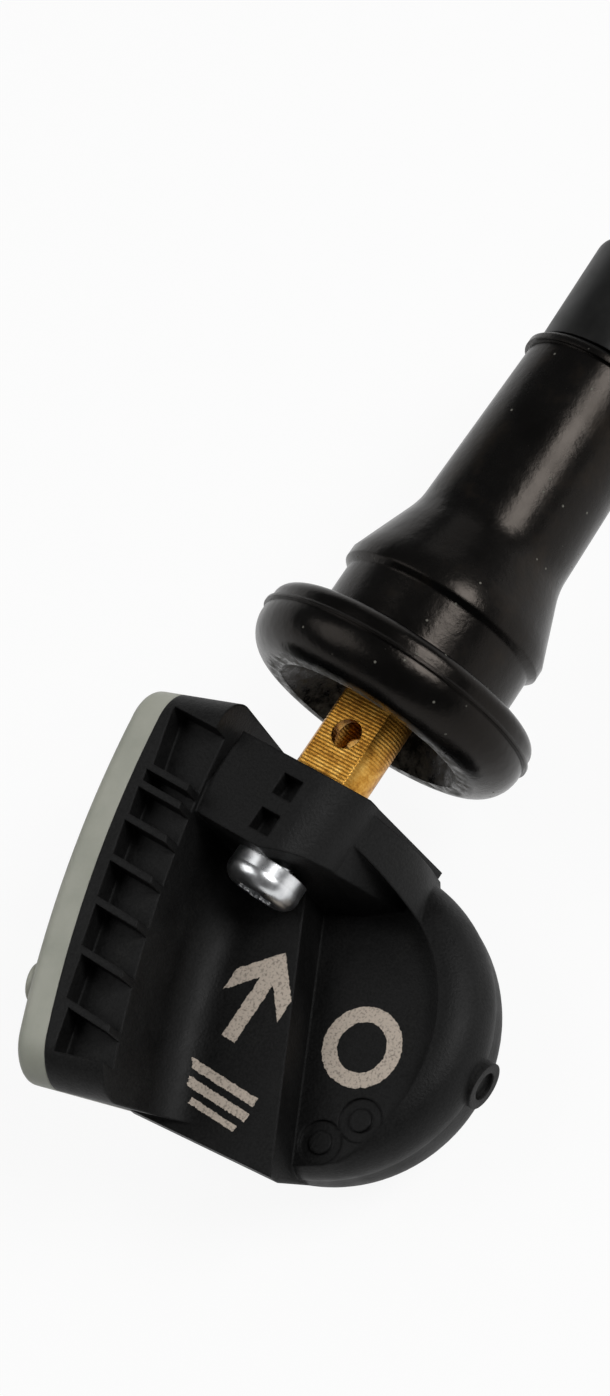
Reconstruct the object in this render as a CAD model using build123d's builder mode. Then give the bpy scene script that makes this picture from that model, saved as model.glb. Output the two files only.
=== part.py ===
"""Tyre pressure sensor with a rubber snap-in valve.

The valve lies along X with its cap towards +X. The origin is on the valve's axis, on the sealing
face of the rubber flange, where the wheel rim sits. The lid of the sensor box faces +Y, its round
battery dome faces -Y, and its stepped and ribbed front faces +Z. Millimetres.
"""
import os
from math import acos, atan2, cos, hypot, radians, sin, tan

from build123d import *

# Rubber valve: stations along the axis and radii
flange_thick = 4.3
flange_r = 9.2
flange_edge_round = 0.8
parting_ridge = 0.2
parting_ridge_x = -1.5
seat_inner_r = 7.0
cup_mouth_r = 6.3
cup_root_r = 4.2
cup_root_x = -1.1
underside_r = 7.1
underside_bulge_x = -3.5
underside_bulge_r = 8.65
groove_r = 6.45
groove_run_in = 0.6
bulge_x = 3.7
bulge_r = 6.85
bulge_land = 0.7
cone_end_x = 8.5
stem_base_r = 5.0
stem_top_x = 21.4
stem_top_r = 4.5
collar_r = 4.8
collar_end_x = 22.0
collar_bevel = 0.2

# Brass stem
brass_r = 3.3
brass_tail_r = 2.4
brass_step = 0.3
brass_flat_half = 1.7
brass_flat_top_x = -2.6
cross_hole_r = 0.95
cross_hole_x = -5.7
spigot_r = 1.9
spigot_length = 3.4
tap_r = 1.3
tap_length = 4.1
brass_end_x = 27.8
cap_thread_r = 3.85
thread_chamfer = 0.4
air_bore_r = 1.3
core_chamber_r = 2.65
core_chamber_length = 15.6
chamber_cone = 1.4

# Valve core
core_gap = 0.08
nut_length = 3.6
nut_inset = 0.5
barrel_r = 1.9
barrel_length = 7.4
barrel_bore_r = 1.25
barrel_end_wall = 0.6
guide_length = 1.0
pin_r = 0.5
pin_guide_gap = 0.2
pin_proud = 0.3
pin_collar_r = 1.05
pin_collar_thick = 0.4
pin_collar_gap = 0.2
pin_foot_r = 1.6
pin_foot_thick = 0.5
cup_seal_r = 2.0
cup_seal_thick = 1.3
cup_seal_gap = 0.1
gasket_thick = 1.8
gasket_seat_r = 1.6
spring_wire_r = 0.14
spring_r = 0.87
spring_turns = 7
spring_gap = 0.05

# Cap
cap_r = 4.75
cap_foot_r = 4.6
cap_bore_gap = 0.25
cap_top_wall = 1.6
cap_top_round = 0.9
cap_foot_gap = 0.3
cap_seal_thick = 0.5
cap_seal_hole_r = 1.6
cap_seal_gap = 0.3

# Sensor box: lid side
lid_tilt = 17.5
lid_corner_x = -8.7
lid_corner_y = 9.1
box_length = 25.3
foot_draft = 3.5
lid_bow = 1.15
lid_thick = 2.0
lid_roof = 1.0
lid_edge_round = 0.7
pan_depth = 3.8
front_z = 6.0
back_z = -14.0
corner_round = 2.4
wall = 1.2
front_wall = 2.7
nub_r = 1.2
nub_height = 0.4
nub_along = 19.2
nub_z = 4.2
port_r = 0.5
port_along = 14.0
port_z = -1.8

# Sensor box: front pockets of the skirt
skirt_rim = 0.8
pocket_depth = 1.6
rib_thick = 0.45
rib_along = (5.5, 6.7, 8.9, 11.5, 14.2, 17.2, 20.3)
skirt_foot = 1.9

# Sensor box: bridge on the valve, trough and dome
bridge_top_x = -8.55
bridge_lean = 0.45
bridge_turn_x = -13.4
bridge_turn_y = -3.7
bridge_end_x = -11.9
bridge_sink = 1.0
shoulder_x = -14.0
shoulder_y = -5.4
shoulder_z = -0.9
shoulder_root_y = -9.6
shoulder_drop = 0.5
bridge_foot_x = -14.6
bridge_front_z = 4.0
bridge_side_y = 4.6
bridge_flat_y = -0.6
bridge_flank_y = -4.0
bridge_flank_z = 0.6
bridge_root_y = -6.0
saddle_z = -6.6
saddle_past = 0.2
saddle_corner_y = -4.4
saddle_lean = 0.8
block_back_z = -12.9
window_side = 1.4
window_depth = 1.2
window_pitch = 2.4
window_middle_x = -11.9
dome_x = -19.4
dome_y = -5.0
dome_r = 10.0
dome_side_z = -8.2
dome_rear_z = -9.0
dome_rear_round = 5.0
rim_z = -4.9
rim_wide = 2.5
dome_crown = 0.25
recess_shift_x = -1.7
recess_shift_y = 2.1
recess_z = -6.3
recess_lean = 0.05
stamp_r = 1.35
stamp_core_r = 0.7
stamp_depth = 0.2
stamp_foot_x = -6.9
stamp_foot_y = -4.5
stamp_side_x = -4.6
stamp_side_y = -5.9
platform_z = -3.0
trough_round = 2.4
platform_foot_x = -30.9
platform_back_z = -10.5
platform_foot_lean = 1.3
platform_lip = 1.2
block_foot_x = -28.2
block_side_y = -6.0
ridge_top_x = -13.7
ridge_top_y = -0.8
ridge_foot_x = -29.7
ridge_foot_y = -9.5
boss_r = 1.5
boss_proud = 0.35
boss_dimple_r = 0.9
boss_dimple_depth = 0.35
boss_x = -18.3
boss_z = -8.4

# Screw
screw_gap = 0.1
screw_head_r = 2.4
screw_head_height = 1.9
screw_head_edge = 0.8
screw_crown = 0.25
screw_end_gap = 0.5
screw_hole_r = 1.45
drive_r = 1.3
drive_lobe_r = 0.36
drive_depth = 1.1

# Battery and circuit board
spigot_gap = 0.05
cell_x = -19.0
cell_r = 6.25
cell_thick = 2.5
cell_cap_r = 5.2
cell_cap_step = 0.5
cell_gap = 0.3
pocket_top_z = -8.9
pocket_back_z = -12.0
tab_thick = 0.25
tab_width = 3.2
tab_apart = 2.6
tab_foot = 1.5
board_thick = 0.8
board_level = 0.3
board_gap = 0.25
board_shelf = 1.1
under_board = 0.5
bead_wide = 0.7
chip_side = 4.4
chip_height = 1.1
tube_r = 1.2
tube_bore_r = 0.6
tube_gap = 0.1
coil_length = 8.2
coil_wide = 2.4
coil_height = 1.5
coil_end = 1.5
coil_along = 9.6
coil_z = -6.4
winding_thick = 0.25
crystal_long = 3.2
crystal_wide = 2.5
crystal_height = 0.8
crystal_foot_room = 5.4
crystal_z = -5.4
capacitor_long = 1.6
capacitor_wide = 0.8
capacitor_height = 0.75
capacitor_pitch = 2.2
capacitor_rows = 2
capacitor_columns = 3
capacitor_along = 8.0
capacitor_z = -1.2
antenna_wide = 0.8
antenna_height = 0.6
antenna_inset = 0.5

os.makedirs("parts", exist_ok=True)

# Plan of the box, tilted about Z, and the chord plane of its lid seat
tilt = radians(lid_tilt)
along = Vector(-cos(tilt), -sin(tilt), 0)
inward = Vector(sin(tilt), -cos(tilt), 0)
lid_corner = Vector(lid_corner_x, lid_corner_y, 0)
plan = Plane(origin=lid_corner, x_dir=along, z_dir=(0, 0, 1))
seat = Plane(origin=lid_corner, x_dir=along, z_dir=-inward)
half = box_length / 2
box_height = front_z - back_z
through = lid_bow + lid_thick + pan_depth
board_foot = board_level + board_thick
floor_level = board_foot + under_board


def bow_at(distance):
    """How far the bowed lid seat stands out of its chord, at a distance along it."""
    return lid_bow * (1 - ((distance - half) / half) ** 2)


def band(near, far):
    """Draws a strip of the box's plan between two depths below the bowed lid seat."""
    with BuildLine() as strip:
        ThreePointArc((0, near), (half, near - lid_bow), (box_length, near))
        Line((box_length, near), (box_length, far))
        ThreePointArc((box_length, far), (half, far - lid_bow), (0, far))
        Line((0, far), (0, near))
    make_face(strip.edges())


def lid_outline(inset, front_inset, rounding):
    """Draws the outline of the box as seen through its lid, drawn in by a wall."""
    slope = foot_draft / box_height
    front_end = box_length - inset - front_inset * slope
    back_end = box_length - foot_draft - inset + inset * slope
    with BuildLine() as edge:
        FilletPolyline(
            (inset, front_z - front_inset),
            (front_end, front_z - front_inset),
            (back_end, back_z + inset),
            (inset, back_z + inset),
            radius=rounding,
            close=True,
        )
    make_face(edge.edges())


def on_board(distance, height):
    """A plane on the board's lid side, at a place along the box and a height above the axis."""
    spot = lid_corner + along * distance + inward * board_level + Vector(0, 0, height)
    return Plane(origin=spot, x_dir=along, z_dir=-inward)


def tangent_point(x, y, side):
    """Where a line from a point outside the dome touches the dome's outline."""
    heading = atan2(y - dome_y, x - dome_x)
    turn = side * acos(dome_r / hypot(x - dome_x, y - dome_y))
    return (dome_x + dome_r * cos(heading + turn), dome_y + dome_r * sin(heading + turn))


dome_plane = Plane(origin=(dome_x, dome_y, 0), x_dir=(1, 0, 0), z_dir=(0, -1, 0))
dome_axis = Axis((dome_x, dome_y, 0), (0, 0, 1))
pan_root = lid_corner + along * wall + inward * (pan_depth / 2)
pan_foot = lid_corner + along * (box_length - foot_draft) + inward * (pan_depth / 2)
pocket_r = cell_r + cell_gap
rim_r = dome_r - rim_wide
saddle_top_x = dome_x + dome_r + saddle_past

# Cavity of the housing: the tray for the board, open to the lid, and the pocket of the coin cell
with BuildPart() as cavity:
    with BuildSketch(seat.offset(-board_foot)):
        lid_outline(wall, front_wall, corner_round - wall / 2)
    extrude(amount=board_foot + through)
    with BuildSketch(seat.offset(-floor_level)):
        lid_outline(wall + board_shelf, front_wall + board_shelf, corner_round - wall / 2)
    extrude(amount=floor_level)
    pocket_mouth = Plane(origin=lid_corner + inward * floor_level, x_dir=along, z_dir=(0, 0, 1))
    centre = pocket_mouth.to_local_coords(Vector(cell_x, dome_y, 0))
    with BuildSketch(pocket_mouth.offset(pocket_back_z)):
        with Locations((centre.X, centre.Y)):
            Circle(pocket_r)
        with Locations((centre.X, centre.Y / 2 - under_board / 2)):
            Rectangle(2 * pocket_r, centre.Y + under_board)
    extrude(amount=pocket_top_z - pocket_back_z)

# Bridge of the housing: the boss that takes the tail of the brass stem
with BuildPart() as bridge:
    with BuildSketch(Plane.YZ.offset(bridge_foot_x)):
        with BuildLine():
            Polyline(
                (bridge_root_y, recess_z - bridge_sink),
                (bridge_side_y, recess_z - bridge_sink),
                (bridge_side_y, bridge_front_z),
                (bridge_flat_y, bridge_front_z),
            )
            TangentArc((bridge_flat_y, bridge_front_z), (bridge_flank_y, bridge_flank_z), tangent=(-1, 0))
            Line((bridge_flank_y, bridge_flank_z), (bridge_root_y, recess_z - bridge_sink))
        make_face()
    extrude(amount=bridge_top_x - bridge_foot_x)
    with BuildSketch(Plane.XZ):
        with BuildLine():
            Polyline(
                (bridge_top_x, brass_flat_half),
                (bridge_top_x - bridge_lean, bridge_front_z),
                (bridge_top_x, bridge_front_z),
                close=True,
            )
        make_face()
    extrude(amount=2 * bridge_side_y, both=True, mode=Mode.SUBTRACT)
    with BuildSketch(Plane.XY.offset(recess_z - wall)):
        with BuildLine():
            Polyline(
                (bridge_foot_x, bridge_flat_y),
                (bridge_turn_x, bridge_turn_y),
                (bridge_end_x, bridge_root_y),
                (bridge_foot_x, bridge_root_y),
                close=True,
            )
        make_face()
    extrude(amount=box_height, mode=Mode.SUBTRACT)

# Raised panel between the skirt and the recess, its foot leaning in behind a lip
with BuildPart() as panel:
    with BuildSketch(Plane.XY.offset(platform_back_z)):
        with BuildLine():
            Polyline(
                (ridge_top_x, ridge_top_y),
                (ridge_foot_x, ridge_foot_y),
                (platform_foot_x, pan_foot.Y),
                (pan_root.X, pan_root.Y),
                (ridge_top_x, bridge_side_y),
                close=True,
            )
        make_face()
    extrude(amount=platform_z - platform_back_z)
    with BuildSketch(Plane.XZ):
        with BuildLine():
            Polyline(
                (ridge_foot_x, platform_z - platform_lip),
                (ridge_foot_x + platform_foot_lean, platform_back_z),
                (ridge_foot_x + platform_foot_lean, block_back_z),
                (platform_foot_x - wall, block_back_z),
                (platform_foot_x - wall, platform_z - platform_lip),
                close=True,
            )
        make_face()
    extrude(amount=-ridge_foot_y + wall, both=True, mode=Mode.SUBTRACT)

# Shoulder of the housing: the flank that widens from the end of the bridge towards the dome
with BuildPart() as shoulder:
    sections = (
        (bridge_top_x - bridge_lean, bridge_flank_y, bridge_flank_z, bridge_root_y),
        (shoulder_x, shoulder_y, shoulder_z, shoulder_root_y),
    )
    for section_x, flank_y, flank_z, root_y in sections:
        with BuildSketch(Plane.YZ.offset(section_x)):
            with BuildLine():
                Polyline(
                    (root_y, saddle_z),
                    (root_y, saddle_z - wall),
                    (bridge_side_y, saddle_z - wall),
                    (bridge_side_y, bridge_front_z - shoulder_drop),
                    (bridge_flat_y, bridge_front_z - shoulder_drop),
                )
                ThreePointArc(
                    (bridge_flat_y, bridge_front_z - shoulder_drop),
                    (flank_y, flank_z),
                    (root_y, saddle_z),
                )
            make_face()
    loft()

# Housing: moulded in one piece
with BuildPart() as housing:
    with BuildSketch(seat.offset(-through)):
        lid_outline(0, 0, corner_round)
    extrude(amount=2 * through)
    with BuildSketch(plan.offset(back_z)):
        band(0, pan_depth)
    extrude(amount=box_height, mode=Mode.INTERSECT)
    lean = tan(tilt)
    starts = (wall, *rib_along)
    ends = (*rib_along, box_length - skirt_foot)
    with BuildSketch(plan.offset(front_z)):
        for start, end in zip(starts, ends):
            top = skirt_rim - bow_at((start + end) / 2)
            left = start + rib_thick / 2
            right = end - rib_thick / 2
            right_lean = lean if end in rib_along else 0
            Polygon(
                (left + lean * top, top),
                (right + right_lean * top, top),
                (right + right_lean * 2 * pan_depth, 2 * pan_depth),
                (left + lean * 2 * pan_depth, 2 * pan_depth),
                align=None,
            )
    extrude(amount=-pocket_depth, mode=Mode.SUBTRACT)
    with BuildSketch(dome_plane):
        with BuildLine():
            Polyline(
                (0, back_z),
                (0, rim_z),
                (rim_r, rim_z),
            )
            ThreePointArc(
                (rim_r, rim_z),
                (dome_r - dome_crown * (dome_r - rim_r), rim_z + dome_crown * (dome_side_z - rim_z)),
                (dome_r, dome_side_z),
            )
            Line((dome_r, dome_side_z), (dome_r, dome_rear_z))
            RadiusArc((dome_r, dome_rear_z), (dome_r - dome_rear_round, back_z), dome_rear_round)
            Line((dome_r - dome_rear_round, back_z), (0, back_z))
        make_face()
    revolve(axis=dome_axis)
    with BuildSketch(Plane.XY.offset(block_back_z)):
        with BuildLine():
            Polyline(
                (saddle_top_x, bridge_side_y),
                (saddle_top_x, saddle_corner_y),
                tangent_point(saddle_top_x, saddle_corner_y, -1),
                (dome_x, dome_y),
                (block_foot_x, block_side_y),
                (block_foot_x, pan_foot.Y),
                (pan_root.X, pan_root.Y),
                close=True,
            )
        make_face()
    extrude(amount=saddle_z - block_back_z)
    with BuildSketch(Plane.XZ):
        with BuildLine():
            Polyline(
                (saddle_top_x, saddle_z),
                (saddle_top_x - saddle_lean, block_back_z),
                (saddle_top_x, block_back_z),
                close=True,
            )
        make_face()
    extrude(amount=-saddle_corner_y + wall, mode=Mode.SUBTRACT)
    add(shoulder.part)
    ridge = Vector(ridge_top_x - ridge_foot_x, ridge_top_y - ridge_foot_y, 0)
    ridge_foot = Vector(ridge_foot_x - dome_x, ridge_foot_y - dome_y, 0)
    beyond = ridge.rotate(Axis.Z, 90)
    recess_floor = Plane(origin=(dome_x, dome_y, recess_z), x_dir=(1, 0, 0), z_dir=(0, recess_lean, 1))
    with BuildSketch(recess_floor):
        with Locations((recess_shift_x, recess_shift_y)):
            Circle(dome_r)
        Polygon(
            ridge_foot - ridge,
            ridge_foot + ridge * 2,
            ridge_foot + ridge * 2 + beyond,
            ridge_foot - ridge + beyond,
            align=None,
            mode=Mode.SUBTRACT,
        )
    extrude(amount=box_height, mode=Mode.SUBTRACT)
    with BuildSketch(recess_floor):
        with Locations((stamp_foot_x, stamp_foot_y), (stamp_side_x, stamp_side_y)):
            Circle(stamp_r)
            Circle(stamp_core_r, mode=Mode.SUBTRACT)
    extrude(amount=-stamp_depth, mode=Mode.SUBTRACT)
    add(bridge.part)
    add(panel.part)
    trough = housing.edges().filter_by_position(Axis.Z, platform_z - 0.01, platform_z + 0.01)
    fillet(trough.filter_by(GeomType.CIRCLE).sort_by(SortBy.LENGTH)[-1], trough_round)
    add(cavity.part, mode=Mode.SUBTRACT)
    with BuildSketch(Plane.YZ.offset(bridge_top_x)):
        Circle(spigot_r + spigot_gap)
    extrude(amount=-spigot_length - spigot_gap, mode=Mode.SUBTRACT)
    with BuildSketch(Plane.YZ.offset(bridge_foot_x)):
        Circle(screw_hole_r)
    extrude(amount=bridge_top_x - bridge_foot_x, mode=Mode.SUBTRACT)
    with BuildSketch(Plane.XY.offset(bridge_front_z)):
        with Locations((window_middle_x - window_pitch / 2, 0), (window_middle_x + window_pitch / 2, 0)):
            Rectangle(window_side, window_side)
    extrude(amount=-window_depth, mode=Mode.SUBTRACT)
    with BuildSketch(Plane(origin=(boss_x, dome_y - dome_r + wall, boss_z), z_dir=(0, -1, 0))):
        Circle(boss_r)
    extrude(amount=wall + boss_proud)
    with BuildSketch(Plane(origin=(boss_x, dome_y - dome_r - boss_proud, boss_z), z_dir=(0, -1, 0))):
        Circle(boss_dimple_r)
    extrude(amount=-boss_dimple_depth, mode=Mode.SUBTRACT)

housing.part.label = "housing"
export_step(housing.part, "parts/housing.step")

# Lid: a shallow tray, bowed like its seat, with a nub by its front edge and the pressure port
with BuildPart() as lid:
    with BuildSketch(seat.offset(-through)):
        lid_outline(0, 0, corner_round)
    extrude(amount=2 * through)
    with BuildSketch(plan.offset(back_z)):
        band(-lid_thick, 0)
    extrude(amount=box_height, mode=Mode.INTERSECT)
    outer = lid.faces().sort_by(Axis(lid_corner, -inward))[-1]
    fillet(outer.edges(), lid_edge_round)
    with BuildSketch(seat.offset(-through)):
        lid_outline(wall, front_wall, corner_round - wall / 2)
    hollow = extrude(amount=2 * through, mode=Mode.PRIVATE)
    with BuildSketch(plan.offset(back_z)):
        band(lid_roof - lid_thick, lid_thick)
    inside = extrude(amount=box_height, mode=Mode.PRIVATE)
    add(hollow & inside, mode=Mode.SUBTRACT)
    nub_root = bow_at(nub_along) + lid_thick - lid_roof / 2
    with BuildSketch(on_board(nub_along, nub_z).offset(board_level + nub_root)):
        Circle(nub_r)
    extrude(amount=lid_roof / 2 + nub_height)
    with BuildSketch(on_board(port_along, port_z)):
        Circle(port_r)
    extrude(amount=through, mode=Mode.SUBTRACT)
lid.part.label = "lid"
export_step(lid.part, "parts/lid.step")

# Sealing bead round the lid's joint, laid on the edge of the board
with BuildPart() as lid_seal:
    with BuildSketch(seat.offset(-board_level)):
        lid_outline(wall, front_wall, corner_round - wall / 2)
    extrude(amount=board_level)
    with BuildSketch(seat.offset(-board_level)):
        lid_outline(wall + bead_wide, front_wall + bead_wide, corner_round - wall / 2)
    extrude(amount=board_level, mode=Mode.SUBTRACT)
lid_seal.part.label = "lid_seal"
export_step(lid_seal.part, "parts/lid_seal.step")

# Rubber valve body: cup, flange with its parting ridge, rim groove, lip, cone, stem and collar
with BuildPart() as valve_rubber:
    with BuildSketch(Plane.XY):
        with BuildLine():
            Polyline(
                (cup_root_x, brass_r),
                (cup_root_x, cup_root_r),
                (-flange_thick, cup_mouth_r),
                (-flange_thick, underside_r),
            )
            ThreePointArc(
                (-flange_thick, underside_r),
                (underside_bulge_x, underside_bulge_r),
                (parting_ridge_x, flange_r),
            )
            Polyline(
                (parting_ridge_x, flange_r),
                (parting_ridge_x, flange_r + parting_ridge),
                (parting_ridge_x + parting_ridge, flange_r + parting_ridge),
                (parting_ridge_x + parting_ridge, flange_r),
                (-flange_edge_round, flange_r),
            )
            RadiusArc((-flange_edge_round, flange_r), (0, flange_r - flange_edge_round), flange_edge_round)
            Line((0, flange_r - flange_edge_round), (0, seat_inner_r))
            TangentArc((0, seat_inner_r), (groove_run_in, groove_r), tangent=(0, -1))
            Polyline(
                (groove_run_in, groove_r),
                (bulge_x - (bulge_r - groove_r), groove_r),
                (bulge_x, bulge_r),
                (bulge_x + bulge_land, bulge_r),
                (cone_end_x, stem_base_r),
                (stem_top_x, stem_top_r),
                (stem_top_x, collar_r),
                (collar_end_x - collar_bevel, collar_r),
                (collar_end_x, collar_r - collar_bevel),
                (collar_end_x, brass_r),
                (cup_root_x, brass_r),
            )
        make_face()
    revolve(axis=Axis.X)
valve_rubber.part.label = "valve_rubber"
export_step(valve_rubber.part, "parts/valve_rubber.step")

# Brass stem: spigot and flatted tail, body in the rubber, neck for the cap, bored for the core
spigot_end_x = bridge_top_x - spigot_length
chamber_x = brass_end_x - core_chamber_length
with BuildPart() as brass_stem:
    with BuildSketch(Plane.XY):
        with BuildLine():
            Polyline(
                (spigot_end_x, 0),
                (spigot_end_x, spigot_r),
                (bridge_top_x, spigot_r),
                (bridge_top_x, brass_tail_r),
                (cup_root_x - brass_step, brass_tail_r),
                (cup_root_x - brass_step, brass_r),
                (collar_end_x, brass_r),
                (collar_end_x, cap_thread_r),
                (brass_end_x - thread_chamfer, cap_thread_r),
                (brass_end_x, cap_thread_r - thread_chamfer),
                (brass_end_x, core_chamber_r),
                (chamber_x, core_chamber_r),
                (chamber_x - chamber_cone, air_bore_r),
                (cross_hole_x - cross_hole_r, air_bore_r),
                (cross_hole_x - cross_hole_r, 0),
                close=True,
            )
        make_face()
    revolve(axis=Axis.X)
    with BuildSketch(Plane.YZ.offset(spigot_end_x)):
        Circle(tap_r)
    extrude(amount=tap_length, mode=Mode.SUBTRACT)
    with BuildSketch(Plane.XZ):
        for side in (-1, 1):
            with Locations(((bridge_top_x + brass_flat_top_x) / 2, side * (brass_flat_half + brass_r / 2))):
                Rectangle(brass_flat_top_x - bridge_top_x, brass_r)
    extrude(amount=2 * brass_r, both=True, mode=Mode.SUBTRACT)
    with BuildSketch(Plane.XY):
        with Locations((cross_hole_x, 0)):
            Circle(cross_hole_r)
    extrude(amount=2 * brass_r, both=True, mode=Mode.SUBTRACT)
brass_stem.part.label = "brass_stem"
export_step(brass_stem.part, "parts/brass_stem.step")

# Valve core: barrel with its nut, seated in the chamber of the stem
nut_end_x = brass_end_x - nut_inset
nut_x = nut_end_x - nut_length
barrel_x = nut_x - barrel_length
guide_x = nut_end_x - guide_length
guide_r = pin_r + pin_guide_gap
with BuildPart() as core_barrel:
    with BuildSketch(Plane.XY):
        with BuildLine():
            Polyline(
                (barrel_x, guide_r),
                (barrel_x, barrel_r),
                (nut_x - gasket_thick, barrel_r),
                (nut_x - gasket_thick, gasket_seat_r),
                (nut_x, gasket_seat_r),
                (nut_x, core_chamber_r - core_gap),
                (nut_end_x, core_chamber_r - core_gap),
                (nut_end_x, guide_r),
                (guide_x, guide_r),
                (guide_x, barrel_bore_r),
                (barrel_x + barrel_end_wall, barrel_bore_r),
                (barrel_x + barrel_end_wall, guide_r),
                close=True,
            )
        make_face()
    revolve(axis=Axis.X)
core_barrel.part.label = "core_barrel"
export_step(core_barrel.part, "parts/core_barrel.step")

# Sealing ring of the core, below its nut
with BuildPart() as core_gasket:
    with BuildSketch(Plane.YZ.offset(nut_x - gasket_thick)):
        Circle(core_chamber_r)
        Circle(gasket_seat_r, mode=Mode.SUBTRACT)
    extrude(amount=gasket_thick)
core_gasket.part.label = "core_gasket"
export_step(core_gasket.part, "parts/core_gasket.step")

# Pin of the core, with the collar its spring lifts and the foot that carries the seal
seal_x = barrel_x - cup_seal_gap - cup_seal_thick
collar_x = guide_x - pin_collar_gap - pin_collar_thick
with BuildPart() as core_pin:
    with BuildSketch(Plane.XY):
        with BuildLine():
            Polyline(
                (seal_x - pin_foot_thick, 0),
                (seal_x - pin_foot_thick, pin_foot_r),
                (seal_x, pin_foot_r),
                (seal_x, pin_r),
                (collar_x, pin_r),
                (collar_x, pin_collar_r),
                (collar_x + pin_collar_thick, pin_collar_r),
                (collar_x + pin_collar_thick, pin_r),
                (nut_end_x + pin_proud, pin_r),
                (nut_end_x + pin_proud, 0),
                close=True,
            )
        make_face()
    revolve(axis=Axis.X)
core_pin.part.label = "core_pin"
export_step(core_pin.part, "parts/core_pin.step")

# Rubber seal on the pin's foot
with BuildPart() as core_seal:
    with BuildSketch(Plane.YZ.offset(seal_x)):
        Circle(cup_seal_r)
        Circle(pin_r, mode=Mode.SUBTRACT)
    extrude(amount=cup_seal_thick)
core_seal.part.label = "core_seal"
export_step(core_seal.part, "parts/core_seal.step")

# Spring between the barrel's end wall and the pin's collar
spring_x = barrel_x + barrel_end_wall + spring_gap + spring_wire_r
spring_length = collar_x - spring_gap - spring_wire_r - spring_x
with BuildPart() as core_spring:
    with BuildLine() as coil_path:
        Helix(
            pitch=spring_length / spring_turns,
            height=spring_length,
            radius=spring_r,
            center=(spring_x, 0, 0),
            direction=(1, 0, 0),
        )
    with BuildSketch(Plane(origin=coil_path.line @ 0, z_dir=coil_path.line % 0)):
        Circle(spring_wire_r)
    sweep(path=coil_path.line, is_frenet=True)
core_spring.part.label = "core_spring"
export_step(core_spring.part, "parts/core_spring.step")

# Dust cap
cap_foot_x = collar_end_x + cap_foot_gap
cap_inner_x = brass_end_x + cap_seal_gap + cap_seal_thick
cap_top_x = cap_inner_x + cap_top_wall
cap_bore_r = cap_thread_r + cap_bore_gap
with BuildPart() as valve_cap:
    with BuildSketch(Plane.XY):
        with BuildLine():
            Polyline(
                (cap_foot_x, cap_bore_r),
                (cap_foot_x, cap_foot_r),
                (cap_top_x - cap_top_round, cap_r),
            )
            RadiusArc((cap_top_x - cap_top_round, cap_r), (cap_top_x, cap_r - cap_top_round), cap_top_round)
            Polyline(
                (cap_top_x, cap_r - cap_top_round),
                (cap_top_x, 0),
                (cap_inner_x, 0),
                (cap_inner_x, cap_bore_r),
                (cap_foot_x, cap_bore_r),
            )
        make_face()
    revolve(axis=Axis.X)
valve_cap.part.label = "valve_cap"
export_step(valve_cap.part, "parts/valve_cap.step")

# Washer in the cap
with BuildPart() as cap_seal:
    with BuildSketch(Plane.YZ.offset(cap_inner_x - cap_seal_thick)):
        Circle(cap_bore_r)
        Circle(cap_seal_hole_r, mode=Mode.SUBTRACT)
    extrude(amount=cap_seal_thick)
cap_seal.part.label = "cap_seal"
export_step(cap_seal.part, "parts/cap_seal.step")

# Button-head screw with a six-lobe drive, through the bridge into the stem
with BuildPart() as retaining_screw:
    with BuildSketch(Plane.XY):
        with BuildLine():
            Polyline(
                (bridge_foot_x - screw_head_height, 0),
                (bridge_foot_x - screw_head_height, drive_r + screw_crown),
            )
            TangentArc(
                (bridge_foot_x - screw_head_height, drive_r + screw_crown),
                (bridge_foot_x - screw_head_edge, screw_head_r),
                tangent=(0, 1),
            )
            Polyline(
                (bridge_foot_x - screw_head_edge, screw_head_r),
                (bridge_foot_x, screw_head_r),
                (bridge_foot_x, tap_r - screw_gap),
                (spigot_end_x + tap_length - screw_end_gap, tap_r - screw_gap),
                (spigot_end_x + tap_length - screw_end_gap, 0),
                (bridge_foot_x - screw_head_height, 0),
            )
        make_face()
    revolve(axis=Axis.X)
    with BuildSketch(Plane.YZ.offset(bridge_foot_x - screw_head_height)):
        Circle(drive_r - drive_lobe_r)
        with PolarLocations(drive_r - drive_lobe_r, 6):
            Circle(drive_lobe_r)
    extrude(amount=drive_depth, mode=Mode.SUBTRACT)
retaining_screw.part.label = "retaining_screw"
export_step(retaining_screw.part, "parts/retaining_screw.step")

# Coin cell, lying under the dome on its lower tab
cell_z = pocket_back_z + tab_thick
with BuildPart() as coin_cell:
    with BuildSketch(Plane.XY.offset(cell_z)):
        with Locations((cell_x, dome_y)):
            Circle(cell_r)
    extrude(amount=cell_thick - cell_cap_step)
    with BuildSketch(Plane.XY.offset(cell_z + cell_thick - cell_cap_step)):
        with Locations((cell_x, dome_y)):
            Circle(cell_cap_r)
    extrude(amount=cell_cap_step)
coin_cell.part.label = "coin_cell"
export_step(coin_cell.part, "parts/coin_cell.step")

# Lower tab, from under the cell to the back of the board
tab_run = centre.Y + floor_level - board_foot
with BuildPart() as battery_tab_plus:
    with BuildSketch(plan.offset(pocket_back_z)):
        with Locations((centre.X + tab_apart, board_foot + tab_run / 2)):
            Rectangle(tab_width, tab_run)
    extrude(amount=tab_thick)
    with BuildSketch(plan.offset(pocket_back_z)):
        with Locations((centre.X + tab_apart, board_foot + tab_thick / 2)):
            Rectangle(tab_width, tab_thick)
    extrude(amount=tab_foot)
battery_tab_plus.part.label = "battery_tab_plus"
export_step(battery_tab_plus.part, "parts/battery_tab_plus.step")

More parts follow.
